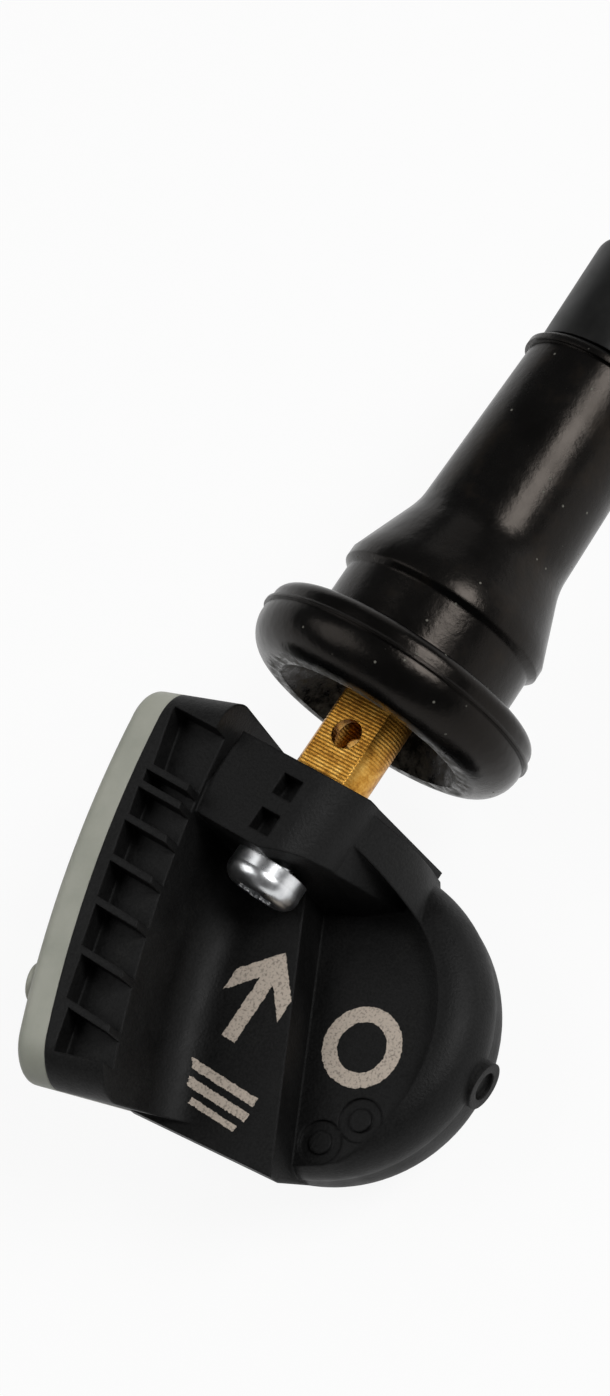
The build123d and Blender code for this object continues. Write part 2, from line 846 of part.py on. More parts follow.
# Upper tab, from the cell's cap to the back of the board
with BuildPart() as battery_tab_minus:
    with BuildSketch(plan.offset(cell_z + cell_thick)):
        with Locations((centre.X - tab_apart, board_foot + tab_run / 2)):
            Rectangle(tab_width, tab_run)
    extrude(amount=tab_thick)
    with BuildSketch(plan.offset(cell_z + cell_thick)):
        with Locations((centre.X - tab_apart, board_foot + tab_thick / 2)):
            Rectangle(tab_width, tab_thick)
    extrude(amount=tab_foot)
battery_tab_minus.part.label = "battery_tab_minus"
export_step(battery_tab_minus.part, "parts/battery_tab_minus.step")

# Circuit board, on the shelf of the housing
with BuildPart() as circuit_board:
    with BuildSketch(seat.offset(-board_foot)):
        lid_outline(wall + board_gap, front_wall + board_gap, corner_round - wall / 2)
    extrude(amount=board_thick)
circuit_board.part.label = "circuit_board"
export_step(circuit_board.part, "parts/circuit_board.step")

# Pressure chip under the port, and the soft tube that leads to it
with BuildPart() as pressure_chip:
    with BuildSketch(on_board(port_along, port_z)):
        Rectangle(chip_side, chip_side)
    extrude(amount=chip_height)
pressure_chip.part.label = "pressure_chip"
export_step(pressure_chip.part, "parts/pressure_chip.step")

with BuildPart() as port_tube:
    with BuildSketch(on_board(port_along, port_z).offset(chip_height)):
        Circle(tube_r)
        Circle(tube_bore_r, mode=Mode.SUBTRACT)
    extrude(amount=bow_at(port_along) + lid_thick - lid_roof + board_level - chip_height - tube_gap)
port_tube.part.label = "port_tube"
export_step(port_tube.part, "parts/port_tube.step")

# Pick-up coil: core with two end blocks, and its winding
with BuildPart() as coil_core:
    with BuildSketch(on_board(coil_along, coil_z)):
        Rectangle(coil_length, coil_wide)
    extrude(amount=coil_height)
    with BuildSketch(on_board(coil_along, coil_z)):
        Rectangle(coil_length - 2 * coil_end, coil_wide)
    extrude(amount=winding_thick, mode=Mode.SUBTRACT)
coil_core.part.label = "coil_core"
export_step(coil_core.part, "parts/coil_core.step")

with BuildPart() as coil_winding:
    with BuildSketch(on_board(coil_along, coil_z)):
        Rectangle(coil_length - 2 * coil_end, coil_wide + 2 * winding_thick)
    extrude(amount=coil_height + winding_thick)
    add(coil_core.part, mode=Mode.SUBTRACT)
coil_winding.part.label = "coil_winding"
export_step(coil_winding.part, "parts/coil_winding.step")

# Crystal
crystal_along = (coil_along + coil_length / 2 + box_length - crystal_foot_room) / 2
with BuildPart() as crystal:
    with BuildSketch(on_board(crystal_along, crystal_z)):
        Rectangle(crystal_long, crystal_wide)
    extrude(amount=crystal_height)
crystal.part.label = "crystal"
export_step(crystal.part, "parts/crystal.step")

# Capacitors, all alike
with BuildPart() as capacitors:
    with BuildSketch(on_board(capacitor_along, capacitor_z)):
        with GridLocations(capacitor_pitch, capacitor_pitch, capacitor_columns, capacitor_rows):
            Rectangle(capacitor_long, capacitor_wide)
    extrude(amount=capacitor_height)
capacitors.part.label = "capacitors"
export_step(capacitors.part, "parts/capacitors.step")

# Antenna: a flat loop round the board, inside the bead
loop_inset = bead_wide + antenna_inset
with BuildPart() as antenna_loop:
    with BuildSketch(seat.offset(-board_level)):
        lid_outline(wall + loop_inset, front_wall + loop_inset, corner_round - wall / 2)
    extrude(amount=antenna_height)
    with BuildSketch(seat.offset(-board_level)):
        inner_inset = loop_inset + antenna_wide
        lid_outline(wall + inner_inset, front_wall + inner_inset, corner_round - wall / 2)
    extrude(amount=antenna_height, mode=Mode.SUBTRACT)
antenna_loop.part.label = "antenna_loop"
export_step(antenna_loop.part, "parts/antenna_loop.step")
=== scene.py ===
# %% [markdown]
# Tyre pressure sensor with a rubber snap-in valve: the looks
#
# The solids of the part come in as a fixed frame, in metres. The valve lies along X with its cap
# towards +X, the pale lid of the sensor box faces +Y and its stepped front faces +Z. This lesson
# gives each piece the finish of the real one, adds the neck's thread, the valve's run from cone to
# stem and a copy of the core's spring, and sets up a plain studio.

# %% Load the frame
from math import hypot, radians

import bmesh
import bpy
from mathutils import Matrix, Vector


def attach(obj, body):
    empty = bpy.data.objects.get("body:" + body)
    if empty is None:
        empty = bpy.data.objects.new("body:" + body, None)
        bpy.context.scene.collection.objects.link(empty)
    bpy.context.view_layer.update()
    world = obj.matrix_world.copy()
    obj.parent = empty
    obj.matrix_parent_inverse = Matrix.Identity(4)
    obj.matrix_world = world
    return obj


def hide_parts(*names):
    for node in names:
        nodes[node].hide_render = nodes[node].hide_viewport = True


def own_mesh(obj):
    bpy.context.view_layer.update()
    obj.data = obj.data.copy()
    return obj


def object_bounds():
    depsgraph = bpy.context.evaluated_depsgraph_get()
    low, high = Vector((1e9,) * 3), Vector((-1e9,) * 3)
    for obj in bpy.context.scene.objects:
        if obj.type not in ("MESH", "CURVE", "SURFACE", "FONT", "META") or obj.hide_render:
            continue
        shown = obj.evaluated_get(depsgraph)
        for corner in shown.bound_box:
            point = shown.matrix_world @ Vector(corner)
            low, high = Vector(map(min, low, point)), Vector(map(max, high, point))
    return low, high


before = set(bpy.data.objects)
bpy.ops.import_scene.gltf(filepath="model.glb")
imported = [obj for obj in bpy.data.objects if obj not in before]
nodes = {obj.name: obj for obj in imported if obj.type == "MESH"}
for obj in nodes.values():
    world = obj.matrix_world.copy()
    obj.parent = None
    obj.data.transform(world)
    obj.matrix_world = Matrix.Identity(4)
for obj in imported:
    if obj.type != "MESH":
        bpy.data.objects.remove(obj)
cad_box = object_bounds()

# %% [markdown]
# Tools for finishes
#
# A finish is a small tree of nodes. Colours are written as sRGB hex and turned to linear by one
# function. Another adds a node with its settings and links, which keeps each finish readable from
# top to bottom: coordinates, patterns, then the shader. Patterns are sized in millimetres, and
# because the coordinates are in metres, one more function turns a size into a texture scale.
#
# Inputs that share a name go by number. A Map Range takes its value, from, to, low and high as 0 to
# 4. A Mix takes its share as 0, two numbers as 2 and 3, and two colours as 6 and 7.

# %% Colours from sRGB hex


def colour(text):
    """Linear RGBA of an sRGB hex value."""
    parts = [int(text[i:i + 2], 16) / 255 for i in (1, 3, 5)]
    return [*[p / 12.92 if p <= 0.04045 else ((p + 0.055) / 1.055) ** 2.4 for p in parts], 1.0]


print("mid grey is", [round(v, 3) for v in colour("#808080")])

# %% Nodes, finishes and texture scales


def add(tree, kind, inputs=None, stops=(), **settings):
    """Adds a node. Settings are its options, and stops a ramp's (place, hex) pairs. An input takes
    a value, a socket, or a node for that node's first output."""
    made = tree.nodes.new(kind)
    for name, value in settings.items():
        setattr(made, name, value)
    for number, (place, text) in enumerate(stops):
        if number > 1:
            made.color_ramp.elements.new(1.0)
        made.color_ramp.elements[number].position = place
        made.color_ramp.elements[number].color = colour(text)
    for name, value in (inputs or {}).items():
        if isinstance(value, bpy.types.Node):
            value = value.outputs[0]
        if isinstance(value, bpy.types.NodeSocket):
            tree.links.new(value, made.inputs[name])
        else:
            made.inputs[name].default_value = value
    return made


def new_finish(name):
    """A new material with an empty tree: returns it, its tree and the object coordinates."""
    material = bpy.data.materials.new(name)
    material.use_nodes = True
    tree = material.node_tree
    tree.nodes.clear()
    return material, tree, add(tree, "ShaderNodeTexCoord").outputs["Object"]


def per_mm(size):
    """Texture scale at which one pattern cell is so many millimetres."""
    return 1000 / size


print("a pattern of 0.5 mm has scale", per_mm(0.5))

# %% [markdown]
# Box: glass-filled nylon
#
# The box is moulded in black nylon with short glass fibres. The tool leaves a satin skin, the melt
# leaves faint streaks along its flow, and the fibres lift a fine grain. A painted texture could
# carry this, but it would need an unwrapped mesh, so noise draws it: one stretched along the box
# for the streaks, and a finer one for the grain, at 0.16 mm, coarser than the real one, so that it
# shows. A bevel node rounds the look of the edges, as the tool's own small radii do, with no change
# to the solid.

# %% Nylon grain and streaks
nylon, tree, place = new_finish("glass_filled_nylon")
turned = add(tree, "ShaderNodeMapping", {
    "Vector": place, "Rotation": (0, 0, 0.3), "Scale": (1, 2.4, 1.4),
})
flow = add(tree, "ShaderNodeTexNoise", {
    "Vector": turned, "Scale": per_mm(4.5), "Detail": 6, "Roughness": 0.62,
})
grain = add(tree, "ShaderNodeTexNoise", {
    "Vector": place, "Scale": per_mm(0.16), "Detail": 3, "Roughness": 0.6,
})
streaks = add(
    tree, "ShaderNodeValToRGB", {"Fac": flow},
    stops=((0.3, "#0e0e0e"), (0.52, "#131313"), (0.74, "#1b1b1a")),
)
fibres = add(
    tree, "ShaderNodeValToRGB", {"Fac": grain}, stops=((0.36, "#7c7c7c"), (0.62, "#ffffff")),
)
black = add(
    tree, "ShaderNodeMix", {0: 1.0, 6: streaks, 7: fibres}, data_type="RGBA", blend_type="MULTIPLY",
).outputs[2]
satin = add(tree, "ShaderNodeMapRange", {0: flow, 1: 0.3, 2: 0.7, 3: 0.48, 4: 0.64})
print("finish begun:", nylon.name)

# %% [markdown]
# Marks on the box
#
# A laser turns the skin of black nylon pale beige. This box gets plain marks of that kind: an arrow
# towards the valve and three bars on the panel, and a ring in the round recess. They could be thin
# meshes laid on the box, but a real laser mark has no thickness, so each one is a mask in the
# material. The masks compare a point's place in millimetres with the mark's middle and half size.
# A little noise in that place makes the edges ragged.

# %% A point's place on the box, in millimetres
ragged = 0.15
in_mm = add(tree, "ShaderNodeVectorMath", {0: place, "Scale": 1000}, operation="SCALE")
jitter = add(tree, "ShaderNodeTexNoise", {
    "Vector": place, "Scale": per_mm(0.3), "Detail": 4, "Roughness": 0.7,
})
jitter = add(
    tree, "ShaderNodeVectorMath",
    {0: jitter.outputs["Color"], 1: (2 * ragged,) * 3, 2: (-ragged,) * 3}, operation="MULTIPLY_ADD",
)
spot = add(tree, "ShaderNodeVectorMath", {0: in_mm, 1: jitter}, operation="ADD")
spot_x, spot_y, spot_z = add(tree, "ShaderNodeSeparateXYZ", {0: spot}).outputs
print("mark edges wander by up to", ragged, "mm")

# %% Arrow head: a slanted stroke, mirrored about the arrow's line
arrow_y, tip_x, wing, wing_slope, wing_half = -2.3, -18.9, 2.1, 1.1, 0.75
beside = add(tree, "ShaderNodeMath", {0: spot_y, 1: arrow_y}, operation="SUBTRACT")
beside = add(tree, "ShaderNodeMath", {0: beside}, operation="ABSOLUTE")
slant = add(tree, "ShaderNodeMath", {0: beside, 1: wing_slope, 2: spot_x}, operation="MULTIPLY_ADD")
slant = add(tree, "ShaderNodeMath", {0: slant, 1: tip_x, 2: wing_half}, operation="COMPARE")
wings = add(tree, "ShaderNodeMath", {0: beside, 1: wing}, operation="LESS_THAN")
drawn = add(tree, "ShaderNodeMath", {0: slant, 1: wings}, operation="MULTIPLY")
print("arrow head at", (tip_x, arrow_y), "mm")

# %% Shaft and bars: middle along X and Y, then half size along X and Y
strokes = {
    "shaft": (-21.7, arrow_y, 2.6, 0.5),
    "first_bar": (-26.6, -3.5, 0.28, 2.6),
    "second_bar": (-27.6, -3.9, 0.28, 2.3),
    "third_bar": (-28.5, -4.2, 0.2, 1.7),
}
for middle_x, middle_y, half_x, half_y in strokes.values():
    along = add(tree, "ShaderNodeMath", {0: spot_x, 1: middle_x, 2: half_x}, operation="COMPARE")
    across = add(tree, "ShaderNodeMath", {0: spot_y, 1: middle_y, 2: half_y}, operation="COMPARE")
    stroke = add(tree, "ShaderNodeMath", {0: along, 1: across}, operation="MULTIPLY")
    drawn = add(tree, "ShaderNodeMath", {0: drawn, 1: stroke}, operation="MAXIMUM")
panel_z, panel_near = -3.0, 0.2
on_panel = add(tree, "ShaderNodeMath", {0: spot_z, 1: panel_z, 2: panel_near}, operation="COMPARE")
drawn = add(tree, "ShaderNodeMath", {0: drawn, 1: on_panel}, operation="MULTIPLY")
print("strokes on the panel:", list(strokes))

# %% Ring in the recess
ring_middle, ring_r, ring_half = (-20.3, -8.4, 0), 2.05, 0.48
flat = add(tree, "ShaderNodeVectorMath", {0: spot, 1: (1, 1, 0)}, operation="MULTIPLY")
away = add(tree, "ShaderNodeVectorMath", {0: flat, 1: ring_middle}, operation="DISTANCE")
away = away.outputs["Value"]
ring = add(tree, "ShaderNodeMath", {0: away, 1: ring_r, 2: ring_half}, operation="COMPARE")
recess_z, recess_near = -6.2, 0.6
in_recess = add(
    tree, "ShaderNodeMath", {0: spot_z, 1: recess_z, 2: recess_near}, operation="COMPARE",
)
ring = add(tree, "ShaderNodeMath", {0: ring, 1: in_recess}, operation="MULTIPLY")
drawn = add(tree, "ShaderNodeMath", {0: drawn, 1: ring}, operation="MAXIMUM")
print("ring of", 2 * ring_r, "mm")

# %% Nylon shader
burnt = add(tree, "ShaderNodeMapRange", {0: grain, 1: 0.34, 2: 0.5, 3: 0.5, 4: 0.96})
burnt = add(tree, "ShaderNodeMath", {0: drawn, 1: burnt}, operation="MULTIPLY")
skin = add(
    tree, "ShaderNodeMix", {0: burnt, 6: black, 7: colour("#c9bcae")}, data_type="RGBA",
).outputs[2]
dull = add(tree, "ShaderNodeMix", {0: burnt, 2: satin, 3: 0.7})
edges = add(tree, "ShaderNodeBevel", {"Radius": 0.00022}, samples=4)
lift = add(tree, "ShaderNodeBump", {
    "Height": grain, "Strength": 0.5, "Distance": 0.00006, "Normal": edges,
})
shader = add(tree, "ShaderNodeBsdfPrincipled", {
    "Base Color": skin, "Roughness": dull, "Normal": lift, "IOR": 1.53, "Specular IOR Level": 0.2,
})
add(tree, "ShaderNodeOutputMaterial", {"Surface": shader})
print("finish:", nylon.name, "with", len(tree.nodes), "nodes")

# %% [markdown]
# Lid: pale nylon
#
# The lid is left without black, a grey with a touch of green, so that a laser can pass and weld it.
# It is slightly cloudy, with a faint grain, and light goes a little way in. A plain grey would look
# like paint, so noise clouds the tone, and a small subsurface share gives the softness.

# %% Lid finish
pale, tree, place = new_finish("pale_nylon")
cloud = add(tree, "ShaderNodeTexNoise", {
    "Vector": place, "Scale": per_mm(5.0), "Detail": 6, "Roughness": 0.65,
})
grain = add(tree, "ShaderNodeTexNoise", {"Vector": place, "Scale": per_mm(0.25), "Detail": 2})
tone = add(
    tree, "ShaderNodeValToRGB", {"Fac": cloud},
    stops=((0.3, "#9b9d91"), (0.5, "#a6a79b"), (0.72, "#afafa4")),
)
satin = add(tree, "ShaderNodeMapRange", {0: grain, 3: 0.46, 4: 0.62})
edges = add(tree, "ShaderNodeBevel", {"Radius": 0.00025}, samples=4)
lift = add(tree, "ShaderNodeBump", {
    "Height": grain, "Strength": 0.2, "Distance": 0.00003, "Normal": edges,
})
shader = add(tree, "ShaderNodeBsdfPrincipled", {
    "Base Color": tone, "Roughness": satin, "Normal": lift, "IOR": 1.53,
    "Subsurface Weight": 0.15, "Subsurface Radius": (1.0, 0.95, 0.8), "Subsurface Scale": 0.0006,
})
add(tree, "ShaderNodeOutputMaterial", {"Surface": shader})
print("finish:", pale.name)

# %% [markdown]
# Valve: moulded rubber
#
# The snap-in body is carbon-black rubber, moulded smooth. Wax comes out of the rubber as a warm,
# cloudy bloom, talc stays inside the cup, and dust sticks in single specks. Bloom and talc are
# duller than clean rubber. The talc could be a painted mask, but the inside of the cup is all that
# lies so near the axis behind the flange, so the distance from the axis is mask enough.

# %% Rubber bloom and specks
rubber, tree, place = new_finish("moulded_rubber")
bloom = add(tree, "ShaderNodeTexNoise", {
    "Vector": place, "Scale": per_mm(6.0), "Detail": 7, "Roughness": 0.66,
})
fine = add(tree, "ShaderNodeTexNoise", {
    "Vector": place, "Scale": per_mm(0.9), "Detail": 5, "Roughness": 0.62,
})
clean = add(
    tree, "ShaderNodeValToRGB", {"Fac": bloom},
    stops=((0.38, "#070707"), (0.56, "#0b0b0b"), (0.72, "#1c1712")),
)
specks = add(tree, "ShaderNodeTexVoronoi", {"Vector": place, "Scale": per_mm(0.9)})
near = add(tree, "ShaderNodeMapRange", {0: specks, 1: 0.05, 2: 0.11, 3: 1.0, 4: 0.0})
lot = add(tree, "ShaderNodeSeparateColor", {0: specks.outputs["Color"]})
chosen = add(tree, "ShaderNodeMath", {0: lot, 1: 0.66}, operation="GREATER_THAN")
dust = add(tree, "ShaderNodeMath", {0: near, 1: chosen}, operation="MULTIPLY")
print("finish begun:", rubber.name)

# %% Talc in the cup
cup_r, cup_edge, cup_mouth_x = 7.0, 7.5, -0.0012
axial = add(tree, "ShaderNodeVectorMath", {0: place, 1: (0, 1000, 1000)}, operation="MULTIPLY")
axial = add(tree, "ShaderNodeVectorMath", {0: axial}, operation="LENGTH").outputs["Value"]
inner = add(tree, "ShaderNodeMapRange", {0: axial, 1: cup_r, 2: cup_edge, 3: 1.0, 4: 0.0})
place_x = add(tree, "ShaderNodeSeparateXYZ", {0: place})
behind = add(tree, "ShaderNodeMath", {0: place_x, 1: cup_mouth_x}, operation="LESS_THAN")
patches = add(tree, "ShaderNodeTexNoise", {
    "Vector": place, "Scale": per_mm(1.1), "Detail": 6, "Roughness": 0.75,
})
patches = add(tree, "ShaderNodeMapRange", {0: patches, 1: 0.42, 2: 0.66, 3: 0.0, 4: 0.85})
talc = add(tree, "ShaderNodeMath", {0: inner, 1: behind}, operation="MULTIPLY")
talc = add(tree, "ShaderNodeMath", {0: talc, 1: patches}, operation="MULTIPLY")
print("talc within", cup_edge, "mm of the axis")

# %% Rubber shader
pale_share = add(tree, "ShaderNodeMath", {0: talc, 1: dust}, operation="MAXIMUM")
skin = add(
    tree, "ShaderNodeMix", {0: pale_share, 6: clean, 7: colour("#6f6e67")}, data_type="RGBA",
).outputs[2]
gloss = add(tree, "ShaderNodeMapRange", {0: bloom, 1: 0.3, 2: 0.7, 3: 0.17, 4: 0.34})
dull = add(tree, "ShaderNodeMix", {0: pale_share, 2: gloss, 3: 0.8})
edges = add(tree, "ShaderNodeBevel", {"Radius": 0.0002}, samples=4)
lift = add(tree, "ShaderNodeBump", {
    "Height": fine, "Strength": 0.3, "Distance": 0.0001, "Normal": edges,
})
shader = add(tree, "ShaderNodeBsdfPrincipled", {
    "Base Color": skin, "Roughness": dull, "Normal": lift, "IOR": 1.52,
    "Specular IOR Level": 0.18, "Specular Tint": colour("#fff1e5"),
})
add(tree, "ShaderNodeOutputMaterial", {"Surface": shader})
print("finish:", rubber.name)

# %% [markdown]
# Stem: turned brass
#
# Brass bar turned on a lathe keeps fine rings across its axis, here 0.22 mm apart, and dulls to
# brown in spots. In the narrow gap below the cap, a dark band is painted on the neck as painted
# shade. The rings could be grooves in the mesh, but they are too fine to be worth it, so a wave
# along X draws them. A wave texture has about three waves in a unit at scale 1, hence the division.

# %% Brass rings and tarnish
waves_per_unit = 3.2
brass, tree, place = new_finish("turned_brass")
rings = add(
    tree, "ShaderNodeTexWave", {
        "Vector": place, "Scale": per_mm(0.22) / waves_per_unit,
        "Distortion": 1.2, "Detail": 2, "Detail Scale": 3,
    }, bands_direction="X",
)
tarnish = add(tree, "ShaderNodeTexNoise", {
    "Vector": place, "Scale": per_mm(1.1), "Detail": 8, "Roughness": 0.76,
})
tone = add(
    tree, "ShaderNodeValToRGB", {"Fac": tarnish},
    stops=((0.34, "#8a5a24"), (0.48, "#c48d3a"), (0.64, "#e2b25c")),
)
gloss = add(tree, "ShaderNodeMapRange", {0: tarnish, 1: 0.3, 2: 0.7, 3: 0.48, 4: 0.3})
print("finish begun:", brass.name)

# %% Brass painted shade and shader
# Painted shade: the neck is darkened and dulled in a band in the gap below the cap, where the cap
# shades it.
painted_shade_x, painted_shade_half = 0.0221, 0.00035
along_x = add(tree, "ShaderNodeSeparateXYZ", {0: place})
painted_shade = add(tree, "ShaderNodeMath", {0: along_x, 1: painted_shade_x, 2: painted_shade_half}, operation="COMPARE")
tone = add(
    tree, "ShaderNodeMix", {0: painted_shade, 6: tone, 7: colour("#1c140a")}, data_type="RGBA",
).outputs[2]
gloss = add(tree, "ShaderNodeMix", {0: painted_shade, 2: gloss, 3: 0.7})
edges = add(tree, "ShaderNodeBevel", {"Radius": 0.00012}, samples=4)
lift = add(tree, "ShaderNodeBump", {
    "Height": rings, "Strength": 0.25, "Distance": 0.00003, "Normal": edges,
})
shader = add(tree, "ShaderNodeBsdfPrincipled", {
    "Base Color": tone, "Roughness": gloss, "Normal": lift, "Metallic": 1.0,
})
add(tree, "ShaderNodeOutputMaterial", {"Surface": shader})
print("finish:", brass.name)

# %% [markdown]
# Metals, plastics and parts of the electronics
#
# The screw is bright zinc plate on steel, and the core's spring and the cell are bare pressed
# steel. The cap is satin moulded polypropylene, the small seals are dull nitrile rubber and the
# lid's bead is silicone. On the board lie green glass epoxy, dull black chip resin, grey sintered
# ferrite, drawn copper and tan ceramic. All share one recipe: two tones mixed by noise, with the
# noise also in the roughness, so that a surface is a little cloudy. Separate trees would only
# repeat it.

# %% Two tones each: colours, metal, IOR, roughness from and to, size of the cloud in mm
two_tone = {
    "zinc_plated_steel": ("#d2d4d6", "#f2f3f4", 1.0, 1.5, 0.26, 0.36, 0.9),
    "pressed_steel": ("#8f9194", "#b4b6b8", 1.0, 1.5, 0.28, 0.42, 0.8),
    "moulded_polypropylene": ("#0d0d0d", "#161615", 0.0, 1.49, 0.38, 0.52, 2.0),
    "nitrile_rubber": ("#191919", "#262626", 0.0, 1.52, 0.55, 0.75, 0.7),
    "cured_silicone": ("#8d8d84", "#a3a298", 0.0, 1.41, 0.45, 0.6, 0.8),
    "glass_epoxy_laminate": ("#0f3a20", "#1b5230", 0.0, 1.55, 0.35, 0.5, 0.9),
    "moulded_chip_resin": ("#151516", "#222223", 0.0, 1.55, 0.5, 0.66, 0.3),
    "sintered_ferrite": ("#2a2a2c", "#3a3a3c", 0.0, 1.6, 0.55, 0.7, 0.3),
    "drawn_copper": ("#9a5226", "#c4763e", 1.0, 1.5, 0.3, 0.45, 0.4),
    "fired_ceramic": ("#8a6a48", "#a5835c", 0.0, 1.6, 0.4, 0.55, 0.3),
}
print("two tones for", len(two_tone), "materials")

# %% One recipe for all of them
finishes = {}
for name, (dark, light, metal, ior, smooth, rough, size) in two_tone.items():
    finishes[name], tree, place = new_finish(name)
    cloud = add(tree, "ShaderNodeTexNoise", {
        "Vector": place, "Scale": per_mm(size), "Detail": 6, "Roughness": 0.65,
    })
    tone = add(tree, "ShaderNodeValToRGB", {"Fac": cloud}, stops=((0.35, dark), (0.65, light)))
    gloss = add(tree, "ShaderNodeMapRange", {0: cloud, 1: 0.3, 2: 0.7, 3: smooth, 4: rough})
    edges = add(tree, "ShaderNodeBevel", {"Radius": 0.00012}, samples=4)
    lift = add(tree, "ShaderNodeBump", {
        "Height": cloud, "Strength": 0.15, "Distance": 0.00003, "Normal": edges,
    })
    shader = add(tree, "ShaderNodeBsdfPrincipled", {
        "Base Color": tone, "Roughness": gloss, "Normal": lift, "Metallic": metal, "IOR": ior,
        "Specular IOR Level": 0.3,
    })
    add(tree, "ShaderNodeOutputMaterial", {"Surface": shader})
print("finishes:", sorted(finishes))

# %% [markdown]
# Dressing the frame
#
# Each node gets its finish by name, from one table, so that none is missed. Pieces of one material
# share one finish, and a change to it reaches all of them.

# %% Give every node its finish
wears = {
    "housing": nylon, "lid": pale, "valve_rubber": rubber, "brass_stem": brass,
    "core_barrel": brass, "core_pin": brass,
    "retaining_screw": finishes["zinc_plated_steel"],
    "valve_cap": finishes["moulded_polypropylene"],
    "lid_seal": finishes["cured_silicone"],
    "circuit_board": finishes["glass_epoxy_laminate"],
    "pressure_chip": finishes["moulded_chip_resin"],
    "coil_core": finishes["sintered_ferrite"],
    "coil_winding": finishes["drawn_copper"],
    "antenna_loop": finishes["drawn_copper"],
    "capacitors": finishes["fired_ceramic"],
}
for name in ("core_spring", "coin_cell", "battery_tab_plus", "battery_tab_minus", "crystal"):
    wears[name] = finishes["pressed_steel"]
for name in ("core_gasket", "core_seal", "cap_seal", "port_tube"):
    wears[name] = finishes["nitrile_rubber"]
for name, node in nodes.items():
    node.data.materials.clear()
    node.data.materials.append(wears[name])
print("dressed:", len(wears), "of", len(nodes))

# %% [markdown]
# Run from cone to stem
#
# The cone of the real valve runs a little further up the stem than the solid's, the stem is a
# little thicker, and a small hollow joins the two, where the solid has an angle. A subdivision
# modifier would round every edge of the valve, so on a copy of its mesh the corner and the stem's
# top are moved to their places, and cone and stem follow by the share of their length, so that both
# stay straight. The copy is then cut into rings across the corner, and each ring is moved out to a
# parabola that meets cone and stem. The count of rings is odd, so that no cut falls on the corner
# itself, which has its ring already.

# %% Move the corner and the stem's top
cone_x, solid_corner_x, top_x = 0.0044, 0.0085, 0.0214
corner_x, corner_lift, top_lift, stem_least_r = 0.0091, 0.0001, 0.0003, 0.0042
tiny = 1e-6
body = bmesh.new()
body.from_mesh(nodes["valve_rubber"].data)
bmesh.ops.remove_doubles(body, verts=body.verts, dist=tiny)
for v in body.verts:
    radius = hypot(*v.co.yz)
    if v.co.x > cone_x and radius > stem_least_r:
        from_cone = (v.co.x - cone_x) / (solid_corner_x - cone_x)
        from_top = (top_x - v.co.x) / (top_x - solid_corner_x)
        follow = max(min(from_cone, from_top), 0)
        raised = corner_lift * follow
        if v.co.x > solid_corner_x:
            raised += top_lift * (1 - follow)
        out = 1 + raised / radius
        v.co = (v.co.x + follow * (corner_x - solid_corner_x), v.co.y * out, v.co.z * out)
print("corner moved from", solid_corner_x * 1000, "to", corner_x * 1000, "mm")

# %% Cut rings across the corner
hollow, ring_count = 0.0008, 7
for number in range(ring_count + 1):
    cut_x = corner_x + hollow * (2 * number / ring_count - 1)
    bmesh.ops.bisect_plane(
        body, geom=[*body.verts, *body.edges, *body.faces], plane_co=(cut_x, 0, 0),
        plane_no=(1, 0, 0),
    )
print("valve:", len(body.faces), "faces after", ring_count + 1, "cuts")

# %% Move the rings out to the hollow
outside = [
    v for v in body.verts
    if abs(v.co.x - corner_x) <= hollow + tiny and hypot(*v.co.yz) > stem_least_r
]
before, corner, after = (
    max(hypot(*v.co.yz) for v in outside if abs(v.co.x - corner_x - side * hollow) < 10 * tiny)
    for side in (-1, 0, 1)
)
rise = (before + after) / 4 - corner / 2
for v in outside:
    off_corner = min(abs(v.co.x - corner_x) / hollow, 1)
    out = 1 + rise * (1 - off_corner) ** 2 / hypot(*v.co.yz)
    v.co.y, v.co.z = v.co.y * out, v.co.z * out
open_edges = sum(not edge.is_manifold for edge in body.edges)
print("hollow lifts", round(rise * 1000, 3), "mm; open edges:", open_edges)

# %% Valve as a piece, without the solid's stored normals, which no longer fit it
sharp_bend = radians(21)
valve = bpy.data.objects.new("moulded_valve", bpy.data.meshes.new("moulded_valve"))
body.to_mesh(valve.data)
body.free()
if "custom_normal" in valve.data.attributes:
    valve.data.attributes.remove(valve.data.attributes["custom_normal"])
valve.data.shade_smooth()
valve.data.set_sharp_from_angle(angle=sharp_bend)
valve.data.materials.append(rubber)
bpy.context.scene.collection.objects.link(valve)
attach(valve, "sensor")
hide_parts("valve_rubber")
print("valve:", len(valve.data.polygons), "faces")

# %% [markdown]
# Thread on the neck
#
# Under the cap the brass neck carries a fine thread, 32 turns to the inch, about 0.79 mm apart. In
# the solids the neck is a plain cylinder. A thread follows a rule, so Geometry Nodes make it: a
# spiral along the neck, with a small triangle carried along it. The spiral node winds about Z, so
# the tree turns it to X before it moves it to the neck. The crest stays inside the cap's bore.

# %% Named inputs of the thread's tree
thread_tree = bpy.data.node_groups.new("neck_thread", "GeometryNodeTree")
thread_sizes = {
    "Turns": 6.2, "Radius": 0.00383, "Length": 0.0049, "Start": 0.0223, "Ridge": 0.00017,
}
sockets = {}
for name, kind in {**dict.fromkeys(thread_sizes, "Float"), "Finish": "Material"}.items():
    sockets[name] = thread_tree.interface.new_socket(
        name, in_out="INPUT", socket_type="NodeSocket" + kind,
    )
thread_tree.interface.new_socket("Geometry", in_out="OUTPUT", socket_type="NodeSocketGeometry")
print("thread inputs:", list(sockets))

